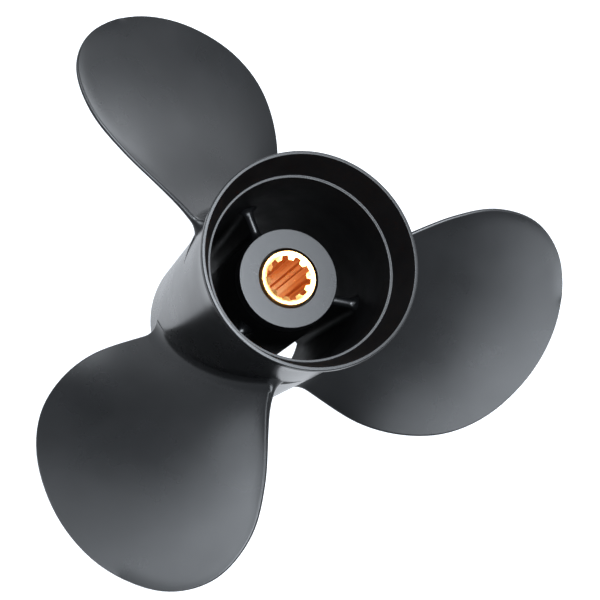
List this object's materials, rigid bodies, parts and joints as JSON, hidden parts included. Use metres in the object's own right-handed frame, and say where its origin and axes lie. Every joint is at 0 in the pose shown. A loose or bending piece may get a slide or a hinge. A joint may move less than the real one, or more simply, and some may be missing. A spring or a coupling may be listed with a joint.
{
  "type": "outboard motor propeller",
  "caption": "Right-hand outboard propeller: broad raked blades on an exhaust barrel with a flared mouth, and a rubber-cushioned splined sleeve in the ribbed inner hub.",
  "frame": {"origin": "on the shaft axis, in the plane of the barrel's front end", "axes": "+Z along the shaft axis towards the exhaust mouth (aft); the part stands on the barrel's front end; +X passes close to the third blade's middle"},
  "size_m": [0.2203, 0.2385, 0.1211],
  "materials": {
    "black_paint": "satin black paint on an aluminium casting",
    "black_rubber": "matt moulded rubber",
    "bronze": "machined, with broached splines"
  },
  "bodies": {
    "root": {"propeller_casting": "black_paint", "rubber_bushing": "black_rubber", "splined_sleeve": "bronze"}
  },
  "joints": []
}
